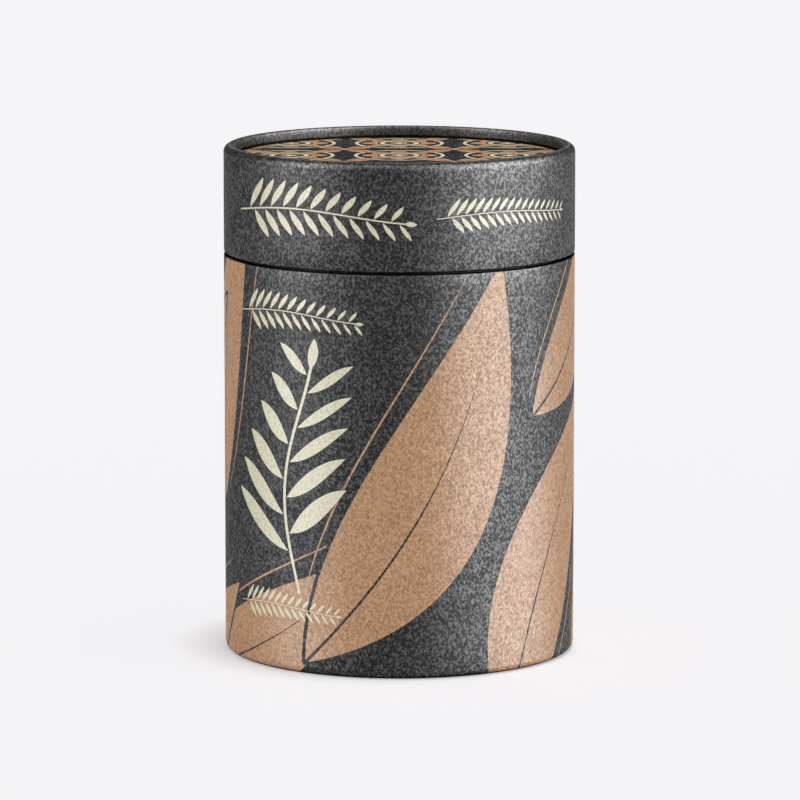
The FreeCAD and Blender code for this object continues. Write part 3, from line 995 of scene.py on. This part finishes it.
class GIFT_TUBE_OT_boards(bpy.types.Operator):
    """Give the wound boards and the hidden lining their finish"""

    bl_idname = "gift_tube.boards"
    bl_label = "Boards"

    def execute(self, context):
        colours = context.scene.tube_print
        board = board_finish("grey board", tuple(colours.greyboard))
        lining = plain_paper("kraft hidden lining", tuple(colours.inner_kraft), True)
        for node in ("body_tube", "neck_tube", "base_disc", "lid_tube", "lid_disc", "body_lining"):
            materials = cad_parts[node].data.materials
            materials.clear()
            materials.append(lining if node == "body_lining" else board)
        return {"FINISHED"}


class GIFT_TUBE_OT_stage(bpy.types.Operator):
    """Set up the floor, the light and the camera"""

    bl_idname = "gift_tube.stage"
    bl_label = "Stage"

    def execute(self, context):
        stage = context.scene.tube_stage
        lay_floor(stage)
        set_lights(context.scene, stage)
        set_camera(context.scene, stage)
        context.scene.view_settings.view_transform = "Standard"
        return {"FINISHED"}


def lay_floor(stage):
    """A wide pale floor that shows white behind the object and takes its shadow."""
    begin("floor")
    bpy.ops.mesh.primitive_circle_add(vertices=96, radius=FLOOR_RADIUS, fill_type="NGON")
    floor = bpy.context.object
    floor.name = "floor"
    material, tree, shader = new_finish("pale floor")
    shader.inputs["Roughness"].default_value = 0.9
    shader.inputs["Base Color"].default_value = stage.floor_colour
    shader.inputs["Specular IOR Level"].default_value = 0.0
    rays = place(tree, "LightPath")
    kinds = ("Is Camera Ray", "Is Glossy Ray", "Is Transmission Ray")
    seen = any_of(*(Wire(rays.outputs[kind]) for kind in kinds))
    glow = place(tree, "Emission", {"Color": tuple(stage.floor_colour), "Strength": 1.0})
    blend = tree.nodes.new("ShaderNodeMixShader")
    plug(seen * stage.floor_glow, blend.inputs[0])
    tree.links.new(shader.outputs[0], blend.inputs[1])
    tree.links.new(glow.outputs[0], blend.inputs[2])
    tree.links.new(blend.outputs[0], tree.nodes["Material Output"].inputs["Surface"])
    floor.data.materials.append(material)
    # the strips reach below the floor and light the papers through it
    floor.visible_shadow = False


def add_light(kind, name, place_at, aim, energy):
    """A lamp turned towards a point."""
    bpy.ops.object.select_all(action="DESELECT")
    bpy.ops.object.light_add(type=kind, location=place_at)
    lamp = bpy.context.object
    lamp.name = name
    direction = [end - start for start, end in zip(place_at, aim)]
    flat = math.hypot(direction[0], direction[1])
    tilt = math.atan2(flat, -direction[2])
    lamp.rotation_euler = (tilt, 0, math.atan2(-direction[0], direction[1]))
    lamp.data.energy = energy
    return lamp


def add_sheen(name, place_at, aim, width, length, power):
    """A soft panel that shows only in the papers' sheen."""
    panel = add_light("AREA", name, place_at, aim, power)
    panel.data.shape = "RECTANGLE"
    panel.data.size, panel.data.size_y = width, length
    panel.visible_diffuse = False
    panel.visible_camera = False


def set_lights(scene, stage):
    """Light from all around, a soft overhead sun, and panels for the sheen."""
    world = bpy.data.worlds.new("studio")
    scene.world = world
    world.use_nodes = True
    tree = world.node_tree
    background = tree.nodes["Background"]
    background.inputs["Color"].default_value = (1.0, 1.0, 1.0, 1.0)
    split = place(tree, "SeparateXYZ", {0: Wire(place(tree, "TexCoord").outputs["Generated"])})
    rise = Wire(split.outputs[2])
    change = stage.zenith_strength - stage.horizon_strength
    strength = stage.horizon_strength + ease(rise, 0.35, 0.65) * change
    plug(strength * (rise > 0.0), background.inputs["Strength"])
    world.cycles_visibility.glossy = False
    sun = add_light("SUN", "overhead sun", SUN_PLACE, (0, 0, 0), stage.sun_strength)
    sun.data.angle = math.radians(SUN_ANGLE)
    sun.visible_glossy = False
    add_sheen("top panel", PANEL_PLACE, (0, 0, 0), PANEL_WIDTH, PANEL_LENGTH, stage.top_sheen)
    for name, (turn, width), power in (
        ("right strip", RIGHT_STRIP, stage.right_sheen),
        ("left strip", LEFT_STRIP, stage.left_sheen),
    ):
        out, back = math.sin(math.radians(turn)), -math.cos(math.radians(turn))
        spot = (out * STRIP_DISTANCE, back * STRIP_DISTANCE, STRIP_MIDDLE)
        add_sheen(name, spot, (0, 0, STRIP_MIDDLE), width, STRIP_LENGTH, power)


def set_camera(scene, stage):
    """The camera in front of the tube, a little above it."""
    bpy.ops.object.select_all(action="DESELECT")
    bpy.ops.object.camera_add(
        location=(0, -stage.camera_distance, stage.camera_height),
        rotation=(math.pi / 2 - stage.camera_pitch, 0, 0))
    camera = bpy.context.object
    camera.data.sensor_width = 36.0
    camera.data.lens = stage.camera_lens
    camera.data.shift_x = stage.camera_shift
    camera.data.clip_end = 200.0
    scene.camera = camera


STEPS = (
    GIFT_TUBE_OT_body_wrap,
    GIFT_TUBE_OT_lid_wrap,
    GIFT_TUBE_OT_facings,
    GIFT_TUBE_OT_neck_wrap,
    GIFT_TUBE_OT_linings,
    GIFT_TUBE_OT_boards,
    GIFT_TUBE_OT_stage,
)


class GIFT_TUBE_PT_panel(bpy.types.Panel):
    """Lists the steps that dress the tube, and their sizes and colours"""

    bl_idname = "GIFT_TUBE_PT_panel"
    bl_label = "Gift Tube"
    bl_space_type = "VIEW_3D"
    bl_region_type = "UI"
    bl_category = "Gift Tube"

    def draw(self, context):
        for settings in (context.scene.tube_papers, context.scene.tube_print, context.scene.tube_stage):
            box = self.layout.box()
            for name in settings.__annotations__:
                box.prop(settings, name)
        for step in STEPS:
            self.layout.operator(step.bl_idname)


CLASSES = (TubePapers, TubePrint, TubeStage, *STEPS, GIFT_TUBE_PT_panel)


def register():
    for each in CLASSES:
        bpy.utils.register_class(each)
    bpy.types.Scene.tube_papers = PointerProperty(type=TubePapers)
    bpy.types.Scene.tube_print = PointerProperty(type=TubePrint)
    bpy.types.Scene.tube_stage = PointerProperty(type=TubeStage)


def unregister():
    del bpy.types.Scene.tube_stage
    del bpy.types.Scene.tube_print
    del bpy.types.Scene.tube_papers
    for each in reversed(CLASSES):
        bpy.utils.unregister_class(each)


def main():
    register()
    bpy.ops.gift_tube.body_wrap()
    bpy.ops.gift_tube.lid_wrap()
    bpy.ops.gift_tube.facings()
    bpy.ops.gift_tube.neck_wrap()
    bpy.ops.gift_tube.linings()
    bpy.ops.gift_tube.boards()
    bpy.ops.gift_tube.stage()


if __name__ == "__main__":
    main()
